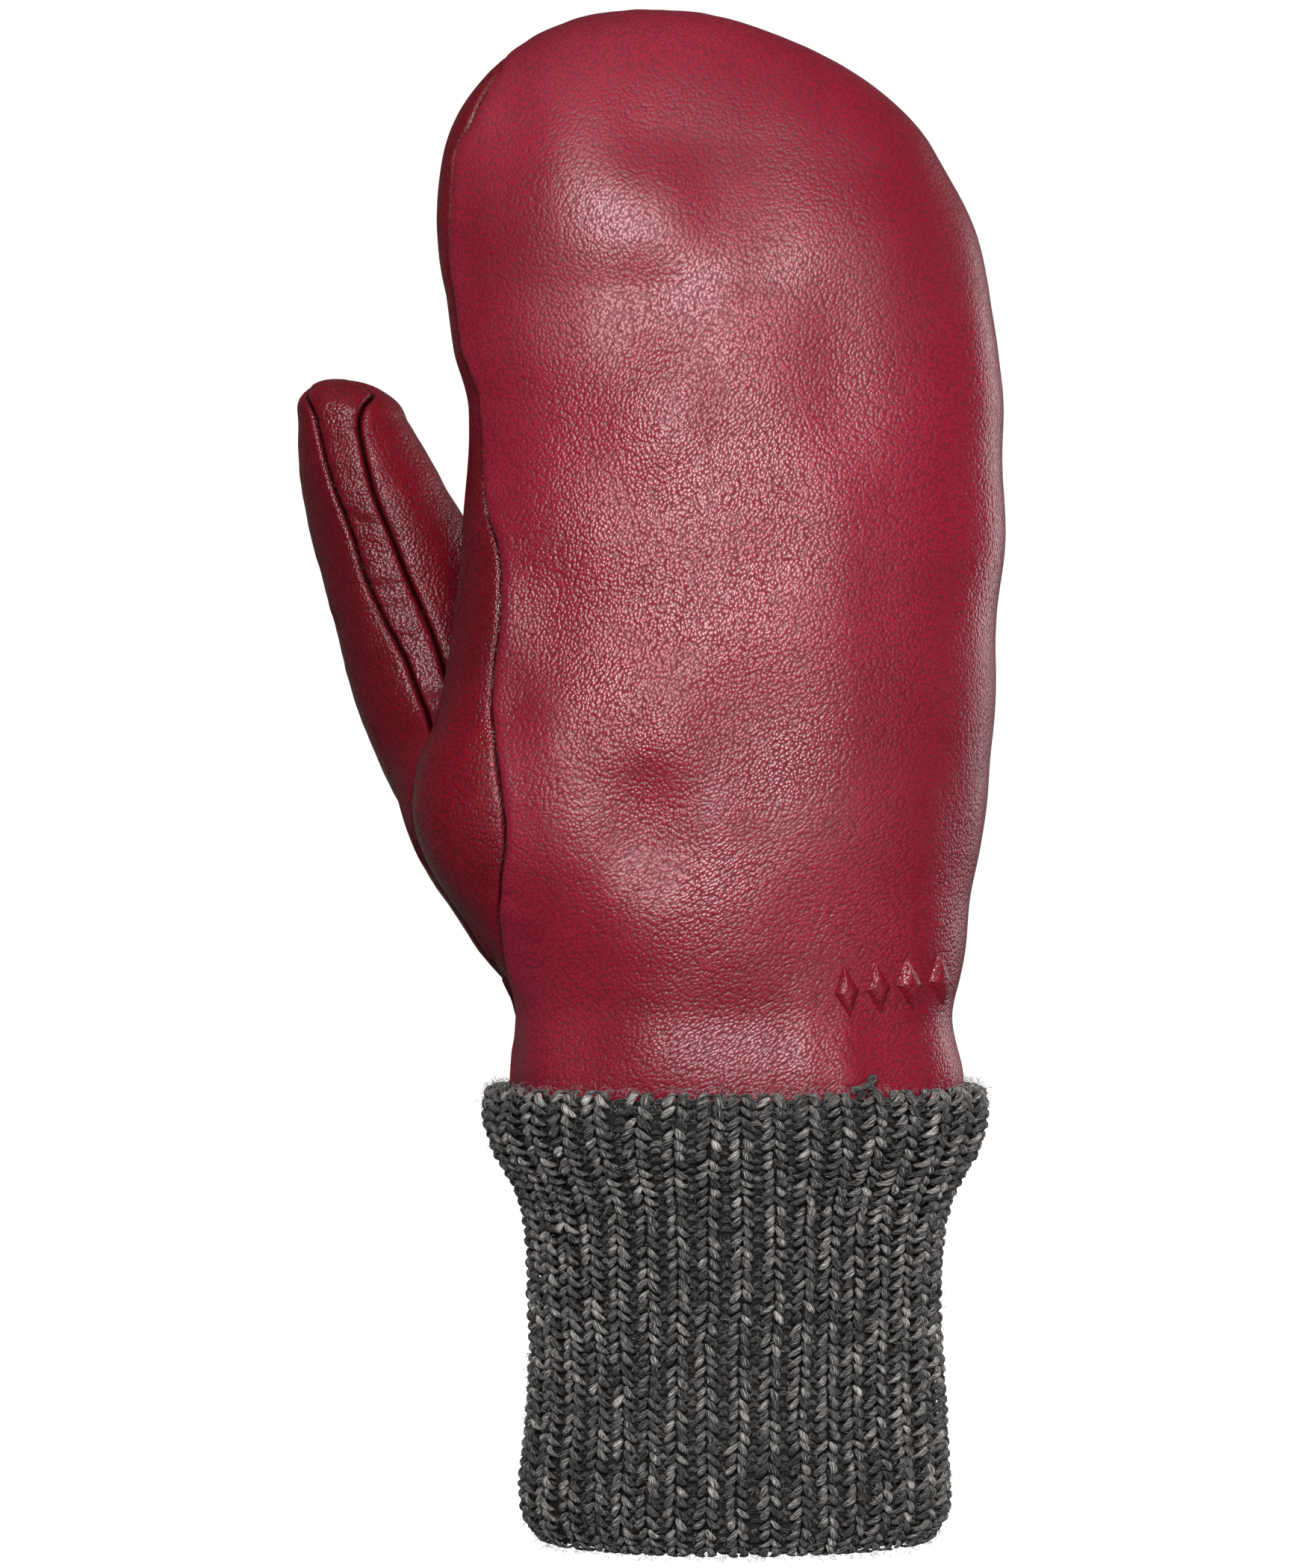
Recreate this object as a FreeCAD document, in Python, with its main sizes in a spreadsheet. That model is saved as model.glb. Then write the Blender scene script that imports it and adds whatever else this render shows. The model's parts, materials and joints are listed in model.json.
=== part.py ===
"""Ski mitten for the right hand, as a parametric FreeCAD document.

The mitten stands on its knitted cuff with the fingertips up. The origin is the centre of the cuff's
opening, +Z runs towards the fingertips, -Y is the back of the hand and -X is the thumb side.
Every layer of the hand bag and of the thumb bag is the space between two nested lofts: leather,
waterproof membrane, insulation, lining. The bags are cut at the knuckles, at the thumb's root and
at the wrist, where the mitten bends about a line on its palm side. Sizes are millimetres.
"""

import FreeCAD, Part
import os

from FreeCAD import Placement, Rotation, Vector

OUT_DIR = "parts"
SHEET = "sizes"

# Stations of the hand bag, from the leather's hem up: height, centre x, half width, half depth.
HAND_STATIONS = {
    "hem": (80.5, -0.1, 44.5, 25.4),
    "wrist": (102.0, -0.9, 46.4, 25.8),
    "heel": (124.0, -3.7, 50.7, 27.2),
    "thenar": (146.0, -6.8, 56.6, 28.0),
    "palm": (169.0, -4.9, 57.8, 27.4),
    "web": (196.0, -2.9, 56.9, 26.0),
    "knuckle": (226.0, -2.3, 55.8, 24.6),
    "fingers": (258.0, -5.6, 55.8, 22.8),
}
# Stations of the thumb bag: height, centre x, centre y, half width, half depth.
THUMB_STATIONS = {
    "base": (104.0, -26.0, 1.0, 20.0, 16.5),
    "ball": (121.0, -32.5, 6.5, 22.0, 18.6),
    "mount": (138.0, -41.2, 13.0, 23.6, 20.2),
    "crotch": (156.0, -51.5, 22.0, 22.6, 20.0),
    "root": (174.0, -60.6, 31.0, 20.4, 18.4),
    "shaft": (191.0, -66.9, 32.0, 18.8, 17.0),
    "pad": (208.0, -72.3, 31.0, 17.7, 15.8),
    "nail": (222.0, -77.8, 29.6, 15.0, 13.8),
}
# Stations of the cuff's outer face: height, half width, half depth.
CUFF_STATIONS = {
    "rim": (0.0, 42.0, 25.4),
    "fold": (3.6, 44.2, 27.6),
    "lower": (12.0, 44.6, 27.9),
    "waist": (40.0, 43.3, 27.0),
    "upper": (61.0, 43.7, 27.2),
    "flare": (72.5, 46.2, 29.2),
    "shoulder": (81.5, 51.0, 32.8),
    "lip": (89.0, 52.4, 34.0),
    "edge": (94.0, 51.8, 33.4),
}
DIMENSIONS = {
    "hand_tip_rise": 60.0,
    "hand_tip_shift": -11.0,
    "thumb_tip_rise": 21.0,
    "thumb_tip_shift": -5.0,
    "thumb_tip_back": -1.0,
    "leather": 1.4,
    "membrane": 0.5,
    "insulation": 4.2,
    "lining": 1.5,
    "knit": 3.2,
    "knit_gap": 0.5,
    "joint_gap": 0.3,
    "knuckle_height": 214.0,
    "wrist_bend_height": 70.0,
    "palm_seam_depth": 9.0,
    "cuff_inner_top": 80.0,
    "elastic_bottom": 96.0,
    "elastic_top": 103.5,
    "insulation_bottom": 105.0,
    "motif_rise": 0.9,
    "motif_centre": 31.5,
    "motif_height": 115.0,
    "motif_pitch": 6.4,
    "motif_half_width": 2.5,
    "motif_half_height": 5.6,
    "motif_tilt": 6.0,
    "fold_floor": 4.0,
    "thumb_lean": 21.0,
    "thumb_split_depth": 30.7,
    "label_width": 22.0,
    "label_length": 26.0,
    "label_thick": 0.5,
    "label_depth": 1.7,
    "label_above_hem": 0.5,
}
CAP_ANGLES = (30.0, 55.0, 72.0, 84.0)  # where the rounded tips have a section, in degrees
LAYERS = ("leather", "membrane", "insulation", "lining")
# The seam between the back panel and the side gusset, as x and z seen from the back of the hand.
BACK_SEAM = ((-50.5, 76.0), (-50.0, 120.0), (-48.0, 147.0), (-50.5, 173.0), (-49.2, 195.0),
             (-54.0, 224.0), (-59.0, 258.0), (-57.5, 285.0), (-48.5, 303.0), (-40.0, 322.0))
# Each thumb seam on the back-facing side, as x at two heights.
THUMB_OUTER_SEAM = ((-66.5, 168.0), (-89.5, 240.0))
THUMB_INNER_SEAM = ((-55.5, 168.0), (-77.5, 240.0))
REACH = 400.0  # longer than the mitten, for cutting boxes
BACK, PALM = -1.0, 1.0
MOTIF_COUNT = 4

doc = FreeCAD.newDocument("ski_mitten")
sheet = doc.addObject("Spreadsheet::Sheet", SHEET)
kept = []


def fill_sheet():
    """Writes every driving dimension to a cell of its own, under an alias."""
    cells = dict(DIMENSIONS)
    for prefix, stations, fields in (
        ("hand", HAND_STATIONS, ("height", "centre", "half_width", "half_depth")),
        ("thumb", THUMB_STATIONS, ("height", "centre", "front", "half_width", "half_depth")),
        ("cuff", CUFF_STATIONS, ("height", "half_width", "half_depth")),
    ):
        for station, values in stations.items():
            for field, value in zip(fields, values):
                cells[f"{prefix}_{station}_{field}"] = value
    for row, (alias, value) in enumerate(cells.items(), start=1):
        sheet.set(f"A{row}", alias)
        sheet.set(f"B{row}", str(value))
        sheet.setAlias(f"B{row}", alias)
    doc.recompute()


def size(alias):
    """The value of one cell."""
    return float(sheet.get(alias))


def cell(alias):
    """How an expression names one cell."""
    return f"{SHEET}.{alias}"


def ellipse(name, height, centre_x, centre_y, half_width, half_depth):
    """A level ellipse whose sizes are expressions over the sheet."""
    ring = doc.addObject("Part::Ellipse", name)
    ring.setExpression("MajorRadius", half_width)
    ring.setExpression("MinorRadius", half_depth)
    ring.setExpression(".Placement.Base.x", centre_x)
    ring.setExpression(".Placement.Base.y", centre_y)
    ring.setExpression(".Placement.Base.z", height)
    return ring


def loft(name, sections):
    body = doc.addObject("Part::Loft", name)
    body.Sections = sections
    body.Solid = True
    body.Ruled = False
    return body


def bag(name, prefix, stations, inset, floor=None):
    """A closed bag: its stations, then a rounded tip, all moved inwards by the expression inset."""
    has_front = prefix == "thumb"
    sections = []
    for station in stations:
        key = f"{prefix}_{station}"
        front = cell(f"{key}_front") if has_front else "0"
        sections.append(ellipse(f"{name}_{station}", cell(f"{key}_height"), cell(f"{key}_centre"), front,
                                f"{cell(key + '_half_width')} - ({inset})",
                                f"{cell(key + '_half_depth')} - ({inset})"))
    last = f"{prefix}_{list(stations)[-1]}"
    for number, angle in enumerate(CAP_ANGLES):
        rise = f"sin({angle} deg)"
        narrow = f"cos({angle} deg)"
        front = f"{cell(last + '_front')} + {cell('thumb_tip_back')} * {rise}" if has_front else "0"
        sections.append(ellipse(
            f"{name}_tip{number}",
            f"{cell(last + '_height')} + ({cell(prefix + '_tip_rise')} - ({inset})) * {rise}",
            f"{cell(last + '_centre')} + {cell(prefix + '_tip_shift')} * {rise}", front,
            f"({cell(last + '_half_width')} - ({inset})) * {narrow}",
            f"({cell(last + '_half_depth')} - ({inset})) * {narrow}"))
    return loft(name, sections)


def tube(name, inset):
    """The cuff's outline, moved inwards by the expression inset, as a solid."""
    sections = [ellipse(f"{name}_{station}", cell(f"cuff_{station}_height"), "0", "0",
                        f"{cell(f'cuff_{station}_half_width')} - ({inset})",
                        f"{cell(f'cuff_{station}_half_depth')} - ({inset})")
                for station in CUFF_STATIONS]
    return loft(name, sections)


def cut(name, base, tool):
    made = doc.addObject("Part::Cut", name)
    made.Base, made.Tool = base, tool
    return made


def common(name, base, tool):
    made = doc.addObject("Part::Common", name)
    made.Base, made.Tool = base, tool
    return made


def fuse(name, *shapes):
    made = doc.addObject("Part::MultiFuse", name)
    made.Shapes = list(shapes)
    return made


def slab(name, bottom, top):
    """All the space between two heights, which are expressions."""
    block = doc.addObject("Part::Box", name)
    block.Length = block.Width = REACH
    block.setExpression("Height", f"({top}) - ({bottom})")
    block.Placement.Base = Vector(-REACH / 2, -REACH / 2, 0)
    block.setExpression(".Placement.Base.z", bottom)
    return block


def half_space(name, side, depth):
    """All the space on the palm side or the back side of a plane of constant y."""
    block = doc.addObject("Part::Box", name)
    block.Length = block.Width = block.Height = REACH
    block.Placement.Base = Vector(-REACH / 2, 0, -REACH / 4)
    block.setExpression(".Placement.Base.y", depth if side == PALM else f"({depth}) - {REACH}")
    return block


def beside(name, line):
    """All the space on the thumb side of a line drawn in x and z."""
    points = [Vector(x, -REACH / 2, z) for x, z in line]
    far = [Vector(-REACH / 2, -REACH / 2, points[-1].z), Vector(-REACH / 2, -REACH / 2, points[0].z)]
    outline = doc.addObject("Part::Feature", f"{name}_outline")
    outline.Shape = Part.Face(Part.makePolygon(points + far + points[:1]))
    block = doc.addObject("Part::Extrusion", name)
    block.Base = outline
    block.Dir = Vector(0, 1, 0)
    block.LengthFwd = REACH
    block.Solid = True
    return block


def across_thumb(name, side, gap):
    """All the space above or below the plane that crosses the thumb at its root."""
    block = doc.addObject("Part::Box", name)
    block.Length = block.Width = block.Height = REACH
    lean = Rotation(Vector(0, 1, 0), -size("thumb_lean"))
    corner = Vector(-REACH / 2, -REACH / 2, gap if side > 0 else -REACH)
    root = Vector(size("thumb_root_centre"), size("thumb_root_front"), size("thumb_root_height"))
    block.Placement = Placement(root + lean.multVec(corner), lean)
    return block


def keep(label, shape):
    """Marks one finished sub-part, under the name of its file."""
    shape.Label = label
    kept.append(shape)
    return shape


def inset_of(layer_count):
    """The depth below the outer face at which a layer starts, as an expression."""
    return " + ".join(cell(layer) for layer in LAYERS[:layer_count]) or "0"


def build_bags():
    """The hand bag and the thumb bag, as one wall of each for every layer."""
    hands = [bag(f"hand_face{i}", "hand", HAND_STATIONS, inset_of(i)) for i in range(len(LAYERS) + 1)]
    thumbs = [bag(f"thumb_face{i}", "thumb", THUMB_STATIONS, inset_of(i)) for i in range(len(LAYERS) + 1)]
    walls = {}
    for i, layer in enumerate(LAYERS):
        ring = cut(f"hand_{layer}_ring", hands[i], hands[i + 1])
        walls["hand", layer] = cut(f"hand_{layer}_wall", ring, thumbs[i + 1])
        sock = cut(f"thumb_{layer}_sock", thumbs[i], thumbs[i + 1])
        walls["thumb", layer] = cut(f"thumb_{layer}_wall", sock, hands[i])
    return walls


def build_hand(walls):
    """Splits the hand bag at the knuckles, and its leather and insulation into their panels."""
    knuckle = cell("knuckle_height")
    gap = cell("joint_gap")
    lower = slab("below_knuckles", "0", knuckle)
    upper = slab("above_knuckles", f"{knuckle} + {gap}", str(REACH))
    padded = slab("padded_hand", cell("insulation_bottom"), knuckle)
    palm = half_space("palm_side", PALM, cell("palm_seam_depth"))
    gusset = beside("gusset_side", BACK_SEAM)
    for part, half, padded_half in (("hand", lower, padded), ("fingers", upper, upper)):
        leather = common(f"{part}_leather", walls["hand", "leather"], half)
        shell = cut(f"{part}_leather_back", leather, palm)
        keep(f"palm_panel_{part}", common(f"{part}_palm_leather", leather, palm))
        keep(f"side_gusset_{part}", common(f"{part}_gusset_leather", shell, gusset))
        keep(f"back_panel_{part}", cut(f"{part}_back_leather", shell, gusset))
        padding = common(f"{part}_padding", walls["hand", "insulation"], padded_half)
        keep(f"palm_insulation_{part}", common(f"{part}_palm_padding", padding, palm))
        keep(f"back_insulation_{part}", cut(f"{part}_back_padding", padding, palm))
        keep(f"membrane_{part}", common(f"{part}_membrane", walls["hand", "membrane"], half))
        keep(f"lining_{part}", common(f"{part}_lining", walls["hand", "lining"], half))


def build_thumb(walls):
    """Splits the thumb bag at its root, and the leather above it into three panels."""
    above = across_thumb("above_root", 1, size("joint_gap"))
    below = across_thumb("below_root", -1, 0)
    for layer in LAYERS:
        name = {"leather": "thumb_base_panel"}.get(layer, f"thumb_{layer}_base")
        keep(name, common(f"thumb_{layer}_low", walls["thumb", layer], below))
    for layer in LAYERS[1:]:
        keep(f"thumb_{layer}_tip", common(f"thumb_{layer}_high", walls["thumb", layer], above))
    leather = common("thumb_leather_high", walls["thumb", "leather"], above)
    outer_side = beside("thumb_outer_side", extended(THUMB_OUTER_SEAM))
    strip_side = beside("thumb_strip_side", extended(THUMB_INNER_SEAM))
    facing = half_space("thumb_facing_side", BACK, cell("thumb_split_depth"))
    framed = cut("thumb_framed_side", facing, outer_side)
    keep("thumb_palm_panel", cut("thumb_palm_leather", leather, framed))
    front = common("thumb_leather_front", leather, framed)
    keep("thumb_inner_panel", cut("thumb_inner_leather", front, strip_side))
    keep("thumb_back_strip", common("thumb_strip_leather", front, strip_side))


def extended(line):
    """The same straight line, carried well past both ends."""
    (x0, z0), (x1, z1) = line
    slope = (x1 - x0) / (z1 - z0)
    return ((x0 - slope * z0, 0.0), (x0 + slope * (REACH - z0), REACH))


def build_cuff():
    """The knitted cuff: a tube folded at its rim, whose turned-back layer covers the leather's hem."""
    knit, gap = cell("knit"), cell("knit_gap")
    faces = [tube(f"cuff_face{i}", inset) for i, inset in enumerate(
        ("0", knit, f"{knit} + {gap}", f"2 * {knit} + {gap}"))]
    outer = cut("cuff_outer_wall", faces[0], faces[1])
    inner = cut("cuff_inner_wall", faces[2], faces[3])
    rim = cut("cuff_whole_wall", faces[0], faces[3])
    bend = cell("wrist_bend_height")
    floor = cell("fold_floor")
    tall = slab("cuff_below_bend", floor, bend)
    fold = common("cuff_fold", rim, slab("cuff_fold_slab", "0", floor))
    keep("cuff_knit", fuse("cuff_folded", fold, common("cuff_low_outer", outer, tall),
                           common("cuff_low_inner", inner, tall)))
    high = slab("cuff_above_bend", f"{bend} + {cell('joint_gap')}", str(REACH))
    keep("cuff_collar", common("cuff_high_outer", outer, high))
    hem = slab("cuff_to_hem", f"{bend} + {cell('joint_gap')}", cell("cuff_inner_top"))
    keep("cuff_root", common("cuff_high_inner", inner, hem))


def build_elastic(walls):
    """An elastic tape round the wrist, in the layer that the insulation leaves free above the hem."""
    band = slab("elastic_band", cell("elastic_bottom"), cell("elastic_top"))
    keep("wrist_elastic", common("elastic_tape", walls["hand", "insulation"], band))


def build_motif():
    """A row of raised lozenges on the back of the hand, by the wrist, on the little finger's side."""
    face = bag("motif_face", "hand", HAND_STATIONS, f"-{cell('motif_rise')}")
    skin = cut("motif_skin", face, doc.getObject("hand_face0"))
    half_width, half_height = size("motif_half_width"), size("motif_half_height")
    centre = Vector(size("motif_centre"), -REACH / 2, size("motif_height"))
    tilt = Rotation(Vector(0, 1, 0), -size("motif_tilt"))
    faces = []
    for number in range(MOTIF_COUNT):
        along = (number - (MOTIF_COUNT - 1) / 2) * size("motif_pitch")
        corners = [Vector(along - half_width, 0, 0), Vector(along, 0, half_height),
                   Vector(along + half_width, 0, 0), Vector(along, 0, -half_height)]
        corners = [centre + tilt.multVec(corner) for corner in corners]
        faces.append(Part.Face(Part.makePolygon(corners + corners[:1])))
    outline = doc.addObject("Part::Feature", "motif_outline")
    outline.Shape = Part.makeCompound(faces)
    punch = doc.addObject("Part::Extrusion", "motif_punch")
    punch.Base = outline
    punch.Dir = Vector(0, 1, 0)
    punch.LengthFwd = REACH / 2
    punch.Solid = True
    keep("raised_motif", common("motif_lozenges", skin, punch))


def build_label():
    """A blank care label, sewn flat inside the lining above the hem, in the middle of the palm side."""
    label = doc.addObject("Part::Box", "label_tape")
    label.setExpression("Length", cell("label_width"))
    label.setExpression("Width", cell("label_thick"))
    label.setExpression("Height", cell("label_length"))
    left = f"{cell('hand_hem_centre')} - {cell('label_width')} / 2"
    depth = f"{cell('hand_hem_half_depth')} - ({inset_of(len(LAYERS))}) - {cell('label_depth')}"
    bottom = f"{cell('hand_hem_height')} + {cell('label_above_hem')}"
    label.setExpression(".Placement.Base.x", left)
    label.setExpression(".Placement.Base.y", depth)
    label.setExpression(".Placement.Base.z", bottom)
    keep("care_label", label)


def check_objects():
    """Stops if any object failed, or any sub-part is missing, invalid or empty."""
    for item in doc.Objects:
        if any(word in item.State for word in ("Invalid", "Error")):
            raise RuntimeError(f"{item.Name} failed: {item.State}")
    for item in kept:
        shape = item.Shape
        if shape.isNull() or not shape.isValid() or shape.Volume <= 0 or not shape.Solids:
            raise RuntimeError(f"{item.Label} has no valid solid")


def export_parts():
    os.makedirs(OUT_DIR, exist_ok=True)
    for name in os.listdir(OUT_DIR):
        if name.endswith(".step"):
            os.remove(os.path.join(OUT_DIR, name))
    for item in kept:
        box = item.Shape.BoundBox
        print(f"{item.Label:26s} solids {len(item.Shape.Solids)} volume {item.Shape.Volume / 1000:8.2f} cm3  "
              f"x {box.XMin:6.1f} {box.XMax:6.1f}  y {box.YMin:6.1f} {box.YMax:6.1f}  "
              f"z {box.ZMin:6.1f} {box.ZMax:6.1f}")
        item.Shape.exportStep(os.path.join(OUT_DIR, f"{item.Label}.step"))


fill_sheet()
bag_walls = build_bags()
build_hand(bag_walls)
build_thumb(bag_walls)
build_elastic(bag_walls)
build_motif()
build_cuff()
build_label()
doc.recompute()
check_objects()
export_parts()
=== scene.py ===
"""The looks of a right-hand ski mitten: leather bag and thumb on a turned-back rib-knit cuff.

Lengths are millimetres until a mesh is made; Blender gets metres. The frame is the CAD part's: +Z towards
the fingertips, -Y out of the back of the hand, -X towards the thumb, origin in the cuff's opening.
"""

import json
import math

import bpy
import numpy as np
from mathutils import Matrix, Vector, kdtree


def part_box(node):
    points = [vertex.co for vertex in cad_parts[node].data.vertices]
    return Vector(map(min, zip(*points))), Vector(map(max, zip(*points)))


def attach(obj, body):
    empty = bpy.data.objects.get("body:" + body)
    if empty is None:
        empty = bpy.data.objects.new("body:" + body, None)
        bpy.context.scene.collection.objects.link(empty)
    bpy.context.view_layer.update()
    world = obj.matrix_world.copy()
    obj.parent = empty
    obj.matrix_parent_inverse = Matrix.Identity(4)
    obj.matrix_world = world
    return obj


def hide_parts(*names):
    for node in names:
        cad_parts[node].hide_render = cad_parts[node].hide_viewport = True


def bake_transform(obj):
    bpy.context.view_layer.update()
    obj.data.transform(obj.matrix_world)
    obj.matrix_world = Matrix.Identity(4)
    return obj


MM = 0.001
TURN = 2 * math.pi

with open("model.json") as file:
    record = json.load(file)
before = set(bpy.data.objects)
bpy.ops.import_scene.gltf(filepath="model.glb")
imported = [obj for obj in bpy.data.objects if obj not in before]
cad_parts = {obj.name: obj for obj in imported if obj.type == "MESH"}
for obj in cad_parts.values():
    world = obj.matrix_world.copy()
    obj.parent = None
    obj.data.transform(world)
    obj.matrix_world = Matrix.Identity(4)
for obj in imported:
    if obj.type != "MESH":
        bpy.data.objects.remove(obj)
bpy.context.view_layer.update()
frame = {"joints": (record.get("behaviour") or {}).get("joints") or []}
# The part's own heights, in millimetres.
MITTEN_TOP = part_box("back_panel_fingers")[1].z / MM
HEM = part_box("back_panel_hand")[0].z / MM
CUFF_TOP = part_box("cuff_collar")[1].z / MM
INNER_KNIT_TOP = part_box("cuff_root")[1].z / MM
JOINTS = {joint["name"]: joint for joint in frame["joints"]}
KNUCKLE = JOINTS["finger_bend"]["pos_m"][2] / MM
THUMB_ROOT = np.array(JOINTS["thumb_bend"]["pos_m"]) / MM

# The hand bag: height, left edge, right edge, depth to the back, depth to the palm.
HAND = np.array([
    (HEM, -44.6, 44.4, 25.0, 25.0),
    (96, -47.4, 47.2, 25.6, 25.6),
    (108, -48.0, 45.0, 24.8, 25.4),
    (116, -50.4, 46.2, 25.6, 26.4),
    (124, -54.4, 47.0, 26.6, 27.4),
    (132, -58.8, 47.4, 27.4, 28.0),
    (142, -63.2, 48.8, 28.0, 28.2),
    (152, -65.4, 50.4, 28.2, 28.0),
    (160, -65.2, 51.6, 28.2, 27.6),
    (169, -62.6, 53.0, 27.8, 27.2),
    (183, -60.6, 54.2, 27.0, 26.6),
    (208, -58.4, 54.4, 25.6, 25.2),
    (221, -57.8, 53.8, 25.0, 24.6),
    (234, -58.2, 53.4, 24.4, 24.0),
    (246, -60.4, 51.6, 23.8, 23.4),
    (258, -61.4, 50.2, 23.0, 22.6),
])
HAND_TIP_SHIFT = -11.0
HAND_TIP_POWER = 0.93
# The thumb bag: height, left edge, right edge, y of its middle, half depth.
THUMB = np.array([
    (104, -46.0, -8.0, 0.0, 17.0),
    (114, -49.6, -9.0, 3.0, 18.0),
    (121, -54.6, -10.5, 6.0, 19.0),
    (133, -61.4, -14.0, 10.0, 20.0),
    (145, -68.4, -20.0, 16.0, 20.4),
    (158, -74.6, -29.0, 23.0, 20.0),
    (170, -79.4, -37.0, 29.0, 19.0),
    (183, -83.6, -44.0, 31.5, 17.8),
    (196, -87.0, -49.5, 31.8, 16.8),
    (208, -90.0, -54.5, 31.0, 15.8),
    (220, -92.6, -62.0, 29.8, 14.2),
    (228, -93.0, -66.6, 29.0, 12.6),
    (234, -92.8, -70.6, 28.6, 11.0),
])
THUMB_TIP_RISE = 8.8
THUMB_TIP_SHIFT = -2.8
# Seams, as x and z seen from the back of the hand.
BACK_SEAM = np.array([
    (-50.2, 79), (-50.2, 100), (-49.0, 118), (-50.0, 126), (-49.3, 135), (-48.0, 143), (-48.0, 149),
    (-49.4, 160), (-50.8, 172), (-50.4, 180), (-49.2, 188), (-49.0, 198), (-49.6, 204), (-52.6, 213),
    (-54.3, 224), (-56.0, 237), (-59.3, 250), (-60.5, 264), (-59.7, 278), (-58.4, 286), (-54.2, 293.5),
    (-49.2, 303.0),
])
THUMB_OUTER_SEAM = np.array([
    (-63.2, 166), (-65.0, 171), (-69.0, 181), (-74.6, 192), (-79.2, 203), (-83.4, 215), (-87.6, 227),
    (-89.4, 235), (-89.4, 242),
])
THUMB_INNER_SEAM = np.array([
    (-58.0, 170), (-63.4, 187), (-66.0, 193), (-70.0, 202), (-73.6, 211), (-77.4, 222), (-79.2, 230),
    (-78.6, 236), (-76.6, 239.5),
])
# The knitted cuff's outer face: height, half width, half depth.
CUFF = np.array([
    (0.0, 42.3, 24.8), (3.6, 44.7, 27.0), (8.0, 45.4, 27.6), (14.0, 45.1, 27.6), (24.0, 44.4, 27.2),
    (46.0, 43.5, 27.0), (62.0, 44.2, 27.2), (68.0, 45.2, 28.0), (73.0, 47.1, 29.2), (78.0, 50.0, 31.2),
    (82.0, 52.0, 32.8), (88.0, 53.2, 33.6), (CUFF_TOP - 1.0, 52.8, 33.4),
])
KNIT_THICK = 3.2
KNIT_GAP = 0.5


# ---- numbers -------------------------------------------------------------------------------------------------

def smooth_curve(table, at):
    """Every column of table after the first, at these values of the first, with no overshoot."""
    x, y = table[:, 0], table[:, 1:]
    step = np.diff(x)[:, None]
    slope = np.diff(y, axis=0) / step
    product = slope[:-1] * slope[1:]
    inner = np.where(product > 0, 2 * product / np.where(product > 0, slope[:-1] + slope[1:], 1), 0)
    tangent = np.vstack([slope[:1], inner, slope[-1:]])
    at = np.asarray(at, float)
    i = np.clip(np.searchsorted(x, at, side="right") - 1, 0, len(x) - 2)
    t = np.clip((at - x[i]) / step[i, 0], 0, 1)[..., None]
    h = step[i]
    return ((2 * t**3 - 3 * t**2 + 1) * y[i] + (t**3 - 2 * t**2 + t) * h * tangent[i]
            + (3 * t**2 - 2 * t**3) * y[i + 1] + (t**3 - t**2) * h * tangent[i + 1])


def together(*parts):
    """These arrays and numbers, spread out to one shape, as one array of points."""
    return np.stack(np.broadcast_arrays(*parts), -1)


def hashed(cell, seed):
    """A repeatable value from -1 to 1 for each whole-number point."""
    n = cell.astype(np.int64)
    h = n[..., 0] * 374761393 + n[..., 1] * 668265263 + n[..., 2] * 2147483647 + seed * 974711
    h = (h ^ (h >> 13)) * 1274126177
    h = (h ^ (h >> 16)) & 0xFFFFFF
    return h / float(0x7FFFFF) - 1.0


def noise(points, scale, seed):
    """Smooth noise from -1 to 1 with lumps about scale millimetres across; scale may be one per axis."""
    p = np.asarray(points, float) / np.asarray(scale, float)
    cell = np.floor(p)
    f = p - cell
    f = f * f * f * (f * (6 * f - 15) + 10)
    total = 0.0
    for corner in np.ndindex(2, 2, 2):
        weight = np.prod(np.where(corner, f, 1 - f), axis=-1)
        total = total + weight * hashed(cell + np.array(corner), seed)
    return total


def line_noise(at, scale, seed):
    """Smooth noise along one number."""
    return noise(together(at, 0.37, 0.73), (scale, 1.0, 1.0), seed)


def lengths(points):
    """How far along a line of points each one lies."""
    return np.concatenate([[0], np.cumsum(np.linalg.norm(np.diff(points, axis=0), axis=1))])


def unit(v):
    return v / np.maximum(np.linalg.norm(v, axis=-1, keepdims=True), 1e-9)


# ---- the two leather bags ------------------------------------------------------------------------------------

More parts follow.
